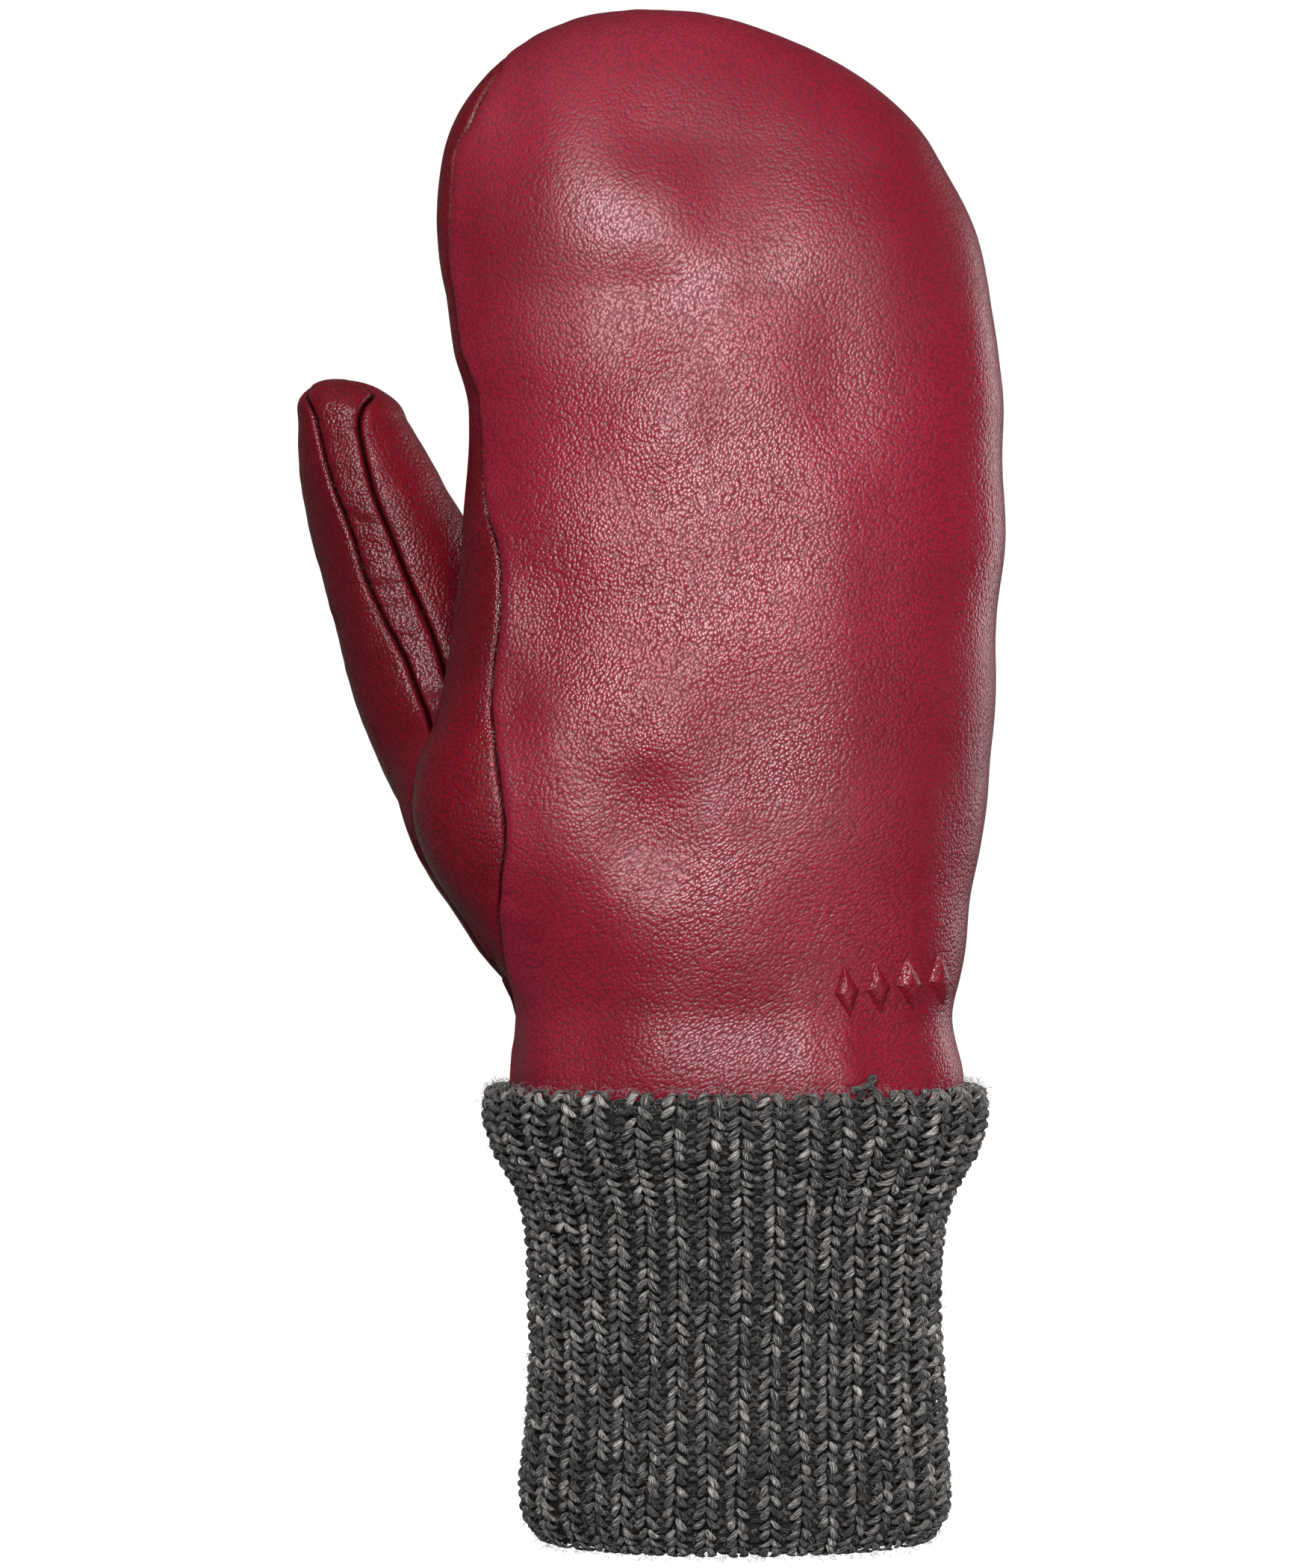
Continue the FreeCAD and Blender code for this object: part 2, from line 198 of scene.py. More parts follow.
class Bag:
    """A bag of level rounded sections that closes in a dome at its tip.

    A place on it is v, the row from 0 at the bottom to 1 at the tip, and angle: 0 at the right edge,
    a quarter turn at the middle of the back and a half turn at the left edge.
    """

    def __init__(self, sections, dome_rise, dome_shift, dome_power, squareness):
        self.sections = sections
        self.rise, self.shift, self.power, self.square = dome_rise, dome_shift, dome_power, squareness
        self.bottom, self.neck = sections[0, 0], sections[-1, 0]
        half = (sections[-1, 2] - sections[-1, 1]) / 2
        straight = self.neck - self.bottom
        self.dome_at = straight / (straight + 0.5 * math.pi * math.sqrt((half**2 + dome_rise**2) / 2))

    def row(self, v):
        """Height, middle x, middle y, half width, depth to the back and depth to the palm at each v."""
        v = np.asarray(v, float)
        climb = np.clip(v / self.dome_at, 0, 1)
        angle = np.clip((v - self.dome_at) / (1 - self.dome_at), 0, 1) * math.pi / 2
        height = self.bottom + climb * (self.neck - self.bottom)
        left, right, back, palm = np.moveaxis(smooth_curve(self.sections, height), -1, 0)
        middle, half, middle_y, back, palm = self.shape(left, right, back, palm)
        shrink = np.maximum(np.cos(angle), 0) ** self.power
        return (height + self.rise * np.sin(angle), middle + self.shift * np.sin(angle), middle_y,
                half * shrink, back * shrink, palm * shrink)

    def shape(self, left, right, back, palm):
        return (left + right) / 2, (right - left) / 2, 0 * left, back, palm

    def at(self, v, angle):
        """Points on the bag."""
        z, middle, middle_y, half, back, palm = self.row(v)
        c, s = np.cos(angle), np.sin(angle)
        c = np.sign(c) * np.abs(c) ** (2 / self.square)
        s = np.sign(s) * np.abs(s) ** (2 / self.square)
        depth = np.where(s > 0, back, palm)
        return together(middle + half * c, middle_y - depth * s, z)

    def normal(self, v, angle):
        """The direction straight out of the bag."""
        low, high = np.clip(v - 2e-3, 0, 1 - 6e-3), np.clip(v + 2e-3, 4e-3, 1 - 2e-3)
        up = self.at(high, angle) - self.at(low, angle)
        middle = np.clip(v, 0, 1 - 4e-3)
        across = self.at(middle, angle + 0.02) - self.at(middle, angle - 0.02)
        return unit(np.cross(up, across))

    def inside(self, points):
        """How deep each point is inside the bag below its dome, from 1 at its middle to 0 at its face."""
        v = (points[..., 2] - self.bottom) / (self.neck - self.bottom) * self.dome_at
        z, middle, middle_y, half, back, palm = self.row(np.clip(v, 0, self.dome_at))
        y = points[..., 1] - middle_y
        depth = np.where(y < 0, back, palm)
        return 1 - ((np.abs(points[..., 0] - middle) / half) ** self.square
                    + (np.abs(y) / depth) ** self.square)

    def height_to_v(self, z):
        """The row at which the bag reaches this height."""
        v = np.linspace(0, 1, 2001)
        return np.interp(z, self.row(v)[0], v)

    def angle_at(self, v, x):
        """The angle on the back-facing half at which the bag has this x."""
        z, middle, middle_y, half, back, palm = self.row(v)
        c = np.clip((x - middle) / np.maximum(half, 1e-6), -1, 1)
        return np.arccos(np.sign(c) * np.abs(c) ** (self.square / 2))


class ThumbBag(Bag):
    """A bag whose middle leaves the plane of the hand."""

    def shape(self, left, right, middle_y, depth):
        return (left + right) / 2, (right - left) / 2, middle_y, depth, depth


hand = Bag(HAND, MITTEN_TOP - HAND[-1, 0], HAND_TIP_SHIFT, HAND_TIP_POWER, 2.25)
thumb = ThumbBag(THUMB, THUMB_TIP_RISE, THUMB_TIP_SHIFT, 1.0, 2.1)


# ---- making meshes -------------------------------------------------------------------------------------------

def grid_faces(rows, columns, closed=False):
    """The quads of a grid of points, row by row, closed into a ring if asked."""
    i = np.arange(rows - 1)[:, None] * columns
    j = np.arange(columns if closed else columns - 1)[None, :]
    k = (j + 1) % columns
    return together(i + j, i + k, i + columns + k, i + columns + j).reshape(-1, 4)


def make_piece(name, points, quads, material, uv=None, triangles=None):
    """A smooth mesh object from points in millimetres."""
    points = np.asarray(points, float).reshape(-1, 3)
    corners = [np.asarray(quads).reshape(-1)]
    sizes = [np.full(len(quads), 4)]
    if triangles is not None and len(triangles):
        corners.append(np.asarray(triangles).reshape(-1))
        sizes.append(np.full(len(triangles), 3))
    corners, sizes = np.concatenate(corners), np.concatenate(sizes)
    mesh = bpy.data.meshes.new(name)
    mesh.vertices.add(len(points))
    mesh.vertices.foreach_set("co", (points * MM).astype(np.float32).ravel())
    mesh.loops.add(len(corners))
    mesh.loops.foreach_set("vertex_index", corners.astype(np.int32))
    mesh.polygons.add(len(sizes))
    mesh.polygons.foreach_set("loop_start", (np.cumsum(sizes) - sizes).astype(np.int32))
    mesh.polygons.foreach_set("loop_total", sizes.astype(np.int32))
    mesh.polygons.foreach_set("use_smooth", np.ones(len(sizes), bool))
    if uv is not None:
        layer = mesh.uv_layers.new(name="UVMap")
        layer.data.foreach_set("uv", np.asarray(uv, float).reshape(-1, 2)[corners].astype(np.float32).ravel())
    mesh.update(calc_edges=True)
    mesh.validate()
    mesh.materials.append(material)
    piece = bpy.data.objects.new(name, mesh)
    bpy.context.scene.collection.objects.link(piece)
    return piece


def graded(width, fine=0.22, coarse=1.1, ramp=8.0):
    """Places across a panel this wide, from 0 to 1, close together near both of its edges."""
    places = [0.0]
    while places[-1] < width / 2:
        places.append(places[-1] + fine + (coarse - fine) * min(places[-1] / ramp, 1))
    half = np.array(places) * (width / 2) / places[-1]
    return np.concatenate([half, width - half[-2::-1]]) / width


# ---- materials -----------------------------------------------------------------------------------------------

# Purl strands have a uv y from PURL_UV up, so that the knit's material can tell them from the legs and darken
# them as painted shade.
PURL_UV = 2000.0
# The uv x of leather is the distance to the nearest seam in millimetres, at most NO_SEAM; the leather's
# material reads it to paint shade into the seams.
NO_SEAM = 30.0
# Painted shade in the seams' grooves: the leather darkens to nearly black within the first of these distances
# in millimetres, and is its own colour again beyond the second.
SEAM_PAINTED_SHADE = (0.15, 0.75)
# The leather's beads: cells per metre, turn and stretch. They change from long to round between these heights.
ROUND_BEADS, LONG_BEADS = (1480.0, 1.1, 0.85), (1640.0, 0.6, 0.64)
BEADS_CHANGE = (0.125, 0.165)
BEADS_WARP = 0.0012
# Where the distance from a bead's middle rises from the first to the second of these, the leather is rougher
# and painted darker, as painted shade in the creases.
CREASE = (0.34, 0.62)
GRAIN_DEPTH = 0.00017


class Finish:
    """One material, with short calls to add and join its nodes."""

    def __init__(self, name, **settings):
        self.material = bpy.data.materials.new(name)
        self.material.use_nodes = True
        self.tree = self.material.node_tree
        self.shader = self.tree.nodes["Principled BSDF"]
        for socket, value in settings.items():
            self.shader.inputs[socket.replace("_", " ")].default_value = value
        self.place = self.add("ShaderNodeTexCoord").outputs["Object"]

    def add(self, kind, options=None, **inputs):
        made = self.tree.nodes.new(kind)
        for option, value in (options or {}).items():
            setattr(made, option, value)
        for socket, value in inputs.items():
            self.put(made.inputs[socket.replace("_", " ")], value)
        return made

    def put(self, socket, value):
        """Joins an input to another node or sets it; a colour is three numbers."""
        if isinstance(value, bpy.types.NodeSocket):
            self.tree.links.new(value, socket)
        else:
            socket.default_value = (*value, 1.0) if socket.type == "RGBA" else value

    def maths(self, operation, *values):
        made = self.add("ShaderNodeMath", {"operation": operation})
        for socket, value in zip(made.inputs, values):
            self.put(socket, value)
        return made.outputs[0]

    def stretched(self, source, scale, turn=(0, 0, 0)):
        return self.add("ShaderNodeMapping", Vector=source, Scale=scale, Rotation=turn).outputs[0]

    def turned(self, source, angle):
        """Turned about the y axis, seen from the back of the hand."""
        return self.stretched(source, (1.0, 1.0, 1.0), (0.0, angle, 0.0))

    def noise(self, source, scale, detail=2.0, roughness=0.5):
        return self.add("ShaderNodeTexNoise", Vector=source, Scale=scale, Detail=detail,
                        Roughness=roughness).outputs["Fac"]

    def cells(self, source, scale):
        """How far each place is from the middle of its cell."""
        made = self.add("ShaderNodeTexVoronoi", {"feature": "F1"}, Vector=source, Scale=scale)
        return made.outputs["Distance"]

    def ramp(self, value, low, high, to_low=0.0, to_high=1.0):
        made = self.add("ShaderNodeMapRange", {"interpolation_type": "SMOOTHSTEP"})
        for socket, item in zip(("Value", "From Min", "From Max", "To Min", "To Max"),
                                (value, low, high, to_low, to_high)):
            self.put(made.inputs[socket], item)
        return made.outputs[0]

    def blend(self, factor, first, second):
        made = self.add("ShaderNodeMix", {"data_type": "RGBA"})
        for number, value in ((0, factor), (6, first), (7, second)):
            self.put(made.inputs[number], value)
        return made.outputs[2]

    def colour(self, value):
        self.put(self.shader.inputs["Base Color"], value)

    def rough(self, value):
        self.put(self.shader.inputs["Roughness"], value)

    def bump(self, height, strength, distance):
        made = self.add("ShaderNodeBump", Height=height, Strength=strength, Distance=distance)
        self.put(self.shader.inputs["Normal"], made.outputs[0])


def leather_finish(name, pale, deep, roughness, grain, shine=0.5):
    """Pebbled leather with a cloudy gloss: small rounded beads, longer and slanting by the wrist."""
    f = Finish(name, Specular_IOR_Level=shine, Coat_Weight=0.0)
    warp = f.add("ShaderNodeTexNoise", Vector=f.place, Scale=260.0, Detail=2.0)
    moved = f.add("ShaderNodeVectorMath", {"operation": "MULTIPLY_ADD"})
    f.put(moved.inputs[0], warp.outputs["Color"])
    moved.inputs[1].default_value = (BEADS_WARP, BEADS_WARP, BEADS_WARP)
    f.put(moved.inputs[2], f.place)
    bent = moved.outputs[0]
    round_beads, long_beads = (f.cells(f.stretched(f.turned(bent, turn), (stretch, 1.0, 1.0)), scale)
                               for scale, turn, stretch in (ROUND_BEADS, LONG_BEADS))
    height = f.add("ShaderNodeSeparateXYZ", Vector=f.place).outputs["Z"]
    border = f.ramp(f.noise(f.place, 30.0), 0.3, 0.7, -0.025, 0.025)
    upper = f.ramp(f.maths("ADD", height, border), *BEADS_CHANGE)
    gap = f.maths("ADD", f.maths("MULTIPLY", round_beads, upper),
                  f.maths("MULTIPLY", long_beads, f.maths("SUBTRACT", 1.0, upper)))
    dome = f.maths("MULTIPLY_ADD", f.maths("MULTIPLY", gap, gap), -2.2, 1.0)
    crease = f.ramp(gap, *CREASE)
    soft = f.noise(f.place, 210.0, 3.0, 0.55)
    relief = f.maths("ADD", dome, f.maths("MULTIPLY", soft, 0.5))
    cloud = f.noise(f.place, 26.0, 3.0, 0.55)
    body = f.blend(f.ramp(cloud, 0.35, 0.68), deep, pale)
    # Painted shade: the colour darkens in the creases between the beads.
    surface = f.blend(f.maths("MULTIPLY", crease, 0.45), body, tuple(c * 0.35 for c in deep))
    flat = f.add("ShaderNodeUVMap", {"uv_map": "UVMap"}).outputs[0]
    seam_gap = f.add("ShaderNodeSeparateXYZ", Vector=flat).outputs["X"]
    # Painted shade: near a seam the colour is darkened to nearly black, standing for the shadow in the seam's
    # groove.
    f.colour(f.blend(f.ramp(seam_gap, *SEAM_PAINTED_SHADE, 0.92, 0.0), surface, tuple(c * 0.06 for c in deep)))
    gloss = f.noise(f.place, 38.0, 2.0, 0.5)
    f.rough(f.maths("ADD", f.ramp(gloss, 0.32, 0.68, roughness - 0.03, roughness + 0.10),
                    f.maths("ADD", f.maths("MULTIPLY", crease, 0.10), f.ramp(height, 0.20, 0.30, 0.0, 0.09))))
    f.bump(relief, f.ramp(height, 0.20, 0.31, grain, grain * 0.45), GRAIN_DEPTH)
    return f.material


def knit_finish(name, dark, light, bright):
    """Melange wool: dark, pale and near-white fibres that lie along each strand with a slight twist."""
    f = Finish(name, Roughness=0.9, Specular_IOR_Level=0.18, Sheen_Weight=0.12, Sheen_Roughness=0.5)
    flat = f.add("ShaderNodeUVMap", {"uv_map": "UVMap"}).outputs[0]
    parts = f.add("ShaderNodeSeparateXYZ", Vector=flat)
    across, along = parts.outputs["X"], parts.outputs["Y"]
    twisted = f.maths("MULTIPLY_ADD", along, 0.55, across)
    strand = f.add("ShaderNodeCombineXYZ", X=f.maths("MULTIPLY", twisted, 5.8),
                   Y=f.maths("MULTIPLY", along, 0.6)).outputs[0]
    fibre = f.noise(strand, 1.0, 3.0, 0.65)
    finer = f.noise(f.stretched(strand, (2.6, 1.9, 1.0)), 1.0, 1.0, 0.5)
    patch = f.noise(f.stretched(flat, (0.06, 0.06, 1.0)), 1.0, 1.0, 0.5)
    mixed = f.maths("ADD", f.maths("MULTIPLY", fibre, 0.85),
                    f.maths("ADD", f.maths("MULTIPLY", finer, 0.3), f.maths("MULTIPLY", patch, 0.4)))
    grey = f.blend(f.ramp(mixed, 0.68, 0.86), dark, light)
    yarn = f.blend(f.ramp(mixed, 0.82, 0.94), grey, bright)
    # Painted shade: the purl strands, deep between the ribs, are darkened towards the dark fibre colour.
    f.colour(f.blend(f.maths("MULTIPLY", f.ramp(along, PURL_UV / 2, PURL_UV), 0.65), yarn, dark))
    f.bump(f.maths("ADD", fibre, f.maths("MULTIPLY", finer, 0.5)), 0.9, 0.0003)
    return f.material


def plain_finish(name, pale, deep, roughness, scale, stretch=(1.0, 1.0, 1.0), strength=0.4, distance=0.0003):
    """A cloth or film with soft lumps of this scale per metre."""
    f = Finish(name, Roughness=roughness, Specular_IOR_Level=0.3)
    lumps = f.noise(f.stretched(f.place, stretch), scale, 4.0, 0.6)
    f.colour(f.blend(f.ramp(lumps, 0.3, 0.7), deep, pale))
    f.bump(lumps, strength, distance)
    return f.material


LEATHER = leather_finish("leather", (0.275, 0.0085, 0.0290), (0.215, 0.0060, 0.0210), 0.255, 0.42)
# A darker, duller copy of the same leather for the gusset and thumb: painted shade for the sides that turn away
# from the light.
LEATHER_SHADED_COPY = leather_finish("leather_side", (0.190, 0.0030, 0.0120), (0.130, 0.0020, 0.0080), 0.225, 0.5,
                              0.38)
KNIT = knit_finish("knit_wool", (0.011, 0.0105, 0.012), (0.150, 0.142, 0.135), (0.70, 0.67, 0.64))
FUZZ = plain_finish("knit_fuzz", (0.40, 0.38, 0.36), (0.05, 0.048, 0.046), 0.9, 700.0)
# Painted shade: the ground behind the stitches is coloured near-black for the shade between them.
KNIT_PAINTED_SHADE = plain_finish("knit_ground_painted_shade", (0.020, 0.019, 0.019), (0.008, 0.008, 0.008), 0.95, 1500.0)
LINING = plain_finish("lining_fleece", (0.05, 0.047, 0.047), (0.028, 0.026, 0.026), 0.95, 900.0, strength=0.8,
                      distance=0.0006)
WADDING = plain_finish("wadding", (0.85, 0.85, 0.83), (0.70, 0.70, 0.69), 0.95, 400.0, strength=0.8,
                       distance=0.0008)
FILM = plain_finish("membrane_film", (0.75, 0.77, 0.80), (0.66, 0.68, 0.72), 0.45, 600.0)
ELASTIC = plain_finish("elastic_braid", (0.045, 0.045, 0.045), (0.015, 0.015, 0.015), 0.8, 1100.0,
                       (1.0, 1.0, 0.25), 0.7)
LABEL = plain_finish("label_satin", (0.80, 0.80, 0.78), (0.70, 0.70, 0.68), 0.4, 2500.0, (1.0, 1.0, 0.2))


# ---- the hand bag --------------------------------------------------------------------------------------------

RIGHT_SEAM = math.radians(-20)
LEFT_SEAM = math.radians(200)
# Where the back seam turns over the tip to the palm's seam: height and share of the way.
SEAM_TURN = ((308.0, 0.45), (315.0, 0.95), (MITTEN_TOP, 1.0))
# A seam moves nothing that is farther away than this.
SEAM_REACH = 20.0
# The dents: how deep, the sizes of their lumps, and where they fade towards the tip.
DENT_WIDE, DENT_MEDIUM, DENT_SMALL = 2.5, 0.5, 1.0
WIDE_LUMPS, MEDIUM_LUMPS, SMALL_LUMPS = (42.0, 60.0, 50.0), (26.0, 40.0, 30.0), (17.0, 24.0, 21.0)
DENT_FADE, DENT_FADE_OVER = 288.0, 28.0
# The gusset's step below the back panel fades to a fifth towards this height, over this length.
STEP_END, STEP_END_OVER = 300.0, 18.0
# The folds at the waist: their top, how far down they grow, and the radius that spaces them.
WAIST_TOP, WAIST_GROWS, WAIST_RADIUS = 118.0, 22.0, 45.0


def seam_angle(bag, seam, turn=(), end=math.pi):
    """The angle for each row of a seam seen from the back, which then turns towards the angle end."""
    x, z = seam.T
    rows = bag.height_to_v(z)
    angles = bag.angle_at(rows, x)
    turned = [(bag.height_to_v(height), angles[-1] + (end - angles[-1]) * share) for height, share in turn]
    table = np.array([*zip(rows, angles), *turned])
    return lambda v: np.minimum(smooth_curve(table, v)[..., 0], end)


def upright(angle):
    """A seam that keeps one angle all the way up."""
    return lambda v: np.full_like(v, angle)


class Seam:
    """A sewn seam: finds how far away it is, and how far along it, from any point."""

    def __init__(self, points, seed, depth=1.7, width=0.48):
        self.seed, self.depth, self.width = seed, depth, width
        self.along = lengths(points)
        self.tree = kdtree.KDTree(len(points))
        for number, point in enumerate(points):
            self.tree.insert(point, number)
        self.tree.balance()

    def press(self, points, rim, step):
        """How far each point is from the seam, and how far the seam moves it: a groove and a puckered swell.

        A step lowers the panel on this side of the seam, so that its neighbour's turned edge stands over it.
        """
        flat = points.reshape(-1, 3)
        near = np.array([self.tree.find(point)[1:] for point in flat])
        gap, place = near[:, 1], self.along[near[:, 0].astype(int)]
        uneven = line_noise(place, 6.5, self.seed)
        groove = -self.depth * (1 + 0.3 * uneven) * np.exp(-((gap / self.width) ** 1.3))
        far = gap / 2.3
        swell = rim * (1 + 0.8 * line_noise(place, 9.0, self.seed + 1)) * far**2 * np.exp(2 * (1 - far))
        fold = 0.45 * rim * line_noise(place, 3.4, self.seed + 2) * far * np.exp(1 - far)
        fall = -step * (1 - np.exp(-gap / 0.7)) * np.exp(-gap / 4.5)
        lift = np.where(gap < SEAM_REACH, groove + swell + fold + fall, 0.0)
        return gap.reshape(points.shape[:-1]), lift.reshape(points.shape[:-1])


def press_seams(points, lines):
    """The strongest of these seams' presses at each point, and the way to the nearest of them as uv."""
    shift, nearest = np.zeros(points.shape[:-1]), np.full(points.shape[:-1], NO_SEAM)
    for line, swell, fall in lines:
        gap, pressed = line.press(points, swell, fall)
        shift = np.where(np.abs(pressed) > np.abs(shift), pressed, shift)
        nearest = np.minimum(nearest, gap)
    return shift, together(nearest, 0.0)


def thumb_root_loop(count=360):
    """Where the thumb bag leaves the hand bag: the row for each angle, and the points."""
    angles = np.linspace(0, TURN, count, endpoint=False)
    rows = np.linspace(0, 0.8, 500)
    points = thumb.at(rows[:, None], angles[None, :])
    inside = hand.inside(points) > 0
    last = len(rows) - 1 - np.argmax(inside[::-1], axis=0)
    leave = rows[np.minimum(last + 1, len(rows) - 1)]
    spread = np.arange(-9, 10)
    weight = np.exp(-(spread / 4.0) ** 2)
    smooth = sum(w * np.roll(leave, k) for w, k in zip(weight, spread)) / weight.sum()
    return angles, smooth, thumb.at(smooth, angles)


LOOP_ANGLES, LOOP_ROWS, LOOP_POINTS = thumb_root_loop()


def seam_line(bag, rows, angle_at, seed, **sizes):
    return Seam(bag.at(rows, angle_at(rows)), seed, **sizes)


back_seam_angle = seam_angle(hand, BACK_SEAM, SEAM_TURN, LEFT_SEAM)
SEAM_ROWS = np.linspace(0, 0.999, 900)
BACK_LINE = seam_line(hand, SEAM_ROWS, back_seam_angle, 11)
ROOT_LINE = Seam(np.vstack([LOOP_POINTS, LOOP_POINTS[:1]]), 51, depth=1.4, width=0.8)
# Each seam with its swell and its step, apart from the back seam, whose own depend on the panel.
HAND_LINES = ((seam_line(hand, SEAM_ROWS, upright(RIGHT_SEAM), 23), 0.3, 0.0),
              (seam_line(hand, SEAM_ROWS, upright(LEFT_SEAM), 37, depth=1.2), 0.2, 0.0), (ROOT_LINE, 0.3, 0.0))


def dents(points):
    """The soft unevenness of padded leather."""
    wide = noise(points, WIDE_LUMPS, 3) + DENT_MEDIUM * noise(points, MEDIUM_LUMPS, 4)
    full = 1 - 0.7 * np.clip((points[..., 2] - DENT_FADE) / DENT_FADE_OVER, 0, 1)
    return full * (DENT_WIDE * wide + DENT_SMALL * noise(points, SMALL_LUMPS, 5))


def waist(points):
    """Shallow upright folds where the elastic draws the leather in."""
    x, y, z = np.moveaxis(points, -1, 0)
    around = np.arctan2(-y, x) * WAIST_RADIUS
    drawn = np.clip((WAIST_TOP - z) / WAIST_GROWS, 0, 1)
    return 0.7 * drawn * line_noise(around, 9.0, 71) + 0.25 * drawn * line_noise(around, 4.0, 72)


def hand_skin(v, angle, inset=0.0, rim=0.0, step=0.0):
    """The hand's outer face with its dents, folds and seams, or a smooth layer inset below it."""
    points = hand.at(v, angle)
    out = hand.normal(v, angle)
    lift, near = dents(points) + waist(points), None
    if not np.any(inset):
        step = step * np.clip((STEP_END - points[..., 2]) / STEP_END_OVER, 0.2, 1).reshape(-1)
        shift, near = press_seams(points, ((BACK_LINE, rim, step), *HAND_LINES))
        lift = lift + shift
    return points + out * (lift - inset)[..., None], near


def rows_up(dome, last, straight, curved):
    """Rows from the bottom to just short of the tip, where a bag closes, closer together over its dome."""
    bend = np.sin(np.linspace(0, math.pi / 2, curved)[1:])
    return np.concatenate([np.linspace(0, dome, straight), dome + (last - dome) * bend])


def bending(piece, bend, slot, *nodes):
    """Bakes the piece's placement into its mesh, and hides the nodes it stands for."""
    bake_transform(piece)
    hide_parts(*nodes)


def riding(piece, node):
    """Fixes the piece to the hand, and hides the node it stands for."""
    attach(piece, "hand")
    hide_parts(node)


hand_rows = rows_up(0.93, 0.9995, 270, 36)
FINGER_BEND = ("hand", "fingers", dict(start=(0, 0, (KNUCKLE - 28) * MM), end=(0, 0, (KNUCKLE + 34) * MM)))


def hand_panel(name, low, high, width, rim, step, material, slot):
    """One leather panel of the hand bag, between two seams given as angles for each row."""
    t = graded(width)
    v = np.broadcast_to(hand_rows[:, None], (len(hand_rows), len(t)))
    angle = low(hand_rows)[:, None] * (1 - t) + high(hand_rows)[:, None] * t
    points, near = hand_skin(v, angle, rim=rim, step=step)
    piece = make_piece(name, points, grid_faces(*v.shape)[:, ::-1], material, near)
    bending(piece, FINGER_BEND, slot, f"{name}_hand", f"{name}_fingers")


hand_panel("back_panel", upright(RIGHT_SEAM), back_seam_angle, 125.0, 0.5, 0.0, LEATHER, "leather")
hand_panel("side_gusset", back_seam_angle, upright(LEFT_SEAM), 36.0, 0.22, 1.3, LEATHER_SHADED_COPY, "leather_side")
hand_panel("palm_panel", upright(LEFT_SEAM), upright(RIGHT_SEAM + TURN), 115.0, 0.3, 0.0, LEATHER, "leather")


# ---- the thumb bag -------------------------------------------------------------------------------------------

outer_seam_angle, inner_seam_angle = seam_angle(thumb, THUMB_OUTER_SEAM), seam_angle(thumb, THUMB_INNER_SEAM)
THUMB_EDGE = math.radians(-14)
THUMB_SEAM_ROWS = np.linspace(0.3, 0.999, 500)
THUMB_LINES = ((seam_line(thumb, THUMB_SEAM_ROWS, outer_seam_angle, 61, depth=1.4), 0.12, 0.0),
               (seam_line(thumb, THUMB_SEAM_ROWS, inner_seam_angle, 67, depth=1.4), 0.2, 0.0),
               (seam_line(thumb, THUMB_SEAM_ROWS, upright(THUMB_EDGE), 73, depth=1.1), 0.2, 0.0),
               (ROOT_LINE, 0.3, 0.0))
LEAN = np.array([-math.sin(math.radians(21)), 0, math.cos(math.radians(21))])
THUMB_BEND = ("hand", "thumb", dict(start=tuple((THUMB_ROOT * (1, 0.6, 1) - 12 * LEAN) * MM),
                                    end=tuple((THUMB_ROOT * (1, 0.6, 1) + 16 * LEAN) * MM)))
# How far below 0 Bag.inside falls while the thumb's own dents take over from the hand's.
ROOTED_REACH = 0.35
# The row at which a panel's angles are read for its start, and how far inside the hand bag it starts.
THUMB_START_ROW, THUMB_TUCK = 0.45, 0.03


def thumb_skin(v, angle, inset=0.0, wrinkle=0.0):
    """The thumb's outer face with its dents, wrinkles and seams, or a smooth layer inset below it."""
    points = thumb.at(v, angle)
    out = thumb.normal(v, angle)
    lift, near = 0.7 * noise(points, (17.0, 20.0, 24.0), 81) + 0.35 * noise(points, (7.0, 9.0, 9.0), 82), None
    rooted = np.exp(-(np.clip(hand.inside(points), -30, 0) / ROOTED_REACH) ** 2)
    lift = lift * (1 - rooted) + (dents(points) + waist(points)) * rooted
    if not np.any(inset):
        shift, near = press_seams(points, THUMB_LINES)
        lift = lift + shift + wrinkle * noise(points, (7.0, 9.0, 2.2), 83)
    return points + out * (lift - inset)[..., None], near


def thumb_panel(name, low, high, width, wrinkle, *nodes):
    """One leather panel of the thumb bag, between two seams given as angles for each row."""
    t = graded(width, 0.22, 0.9)
    row = np.full(1, THUMB_START_ROW)
    start_angle = low(row) * (1 - t) + high(row) * t
    start = np.interp(start_angle % TURN, LOOP_ANGLES, LOOP_ROWS, period=TURN) - THUMB_TUCK
    v = start + (1 - start) * rows_up(0.8, 0.999, 96, 34)[:, None]
    angle = low(v) * (1 - t) + high(v) * t
    points, near = thumb_skin(v, angle, wrinkle=wrinkle)
    piece = make_piece(name, points, grid_faces(*v.shape)[:, ::-1], LEATHER_SHADED_COPY, near)
    bending(piece, THUMB_BEND, "leather_side", *nodes)


thumb_panel("thumb_outer_panel", outer_seam_angle, upright(THUMB_EDGE + TURN), 62.0, 0.08, "thumb_base_panel",
            "thumb_palm_panel")
thumb_panel("thumb_back_strip_skin", inner_seam_angle, outer_seam_angle, 15.0, 0.3, "thumb_back_strip")
thumb_panel("thumb_inner_skin", upright(THUMB_EDGE), inner_seam_angle, 30.0, 0.0, "thumb_inner_panel")


# ---- the layers inside ---------------------------------------------------------------------------------------

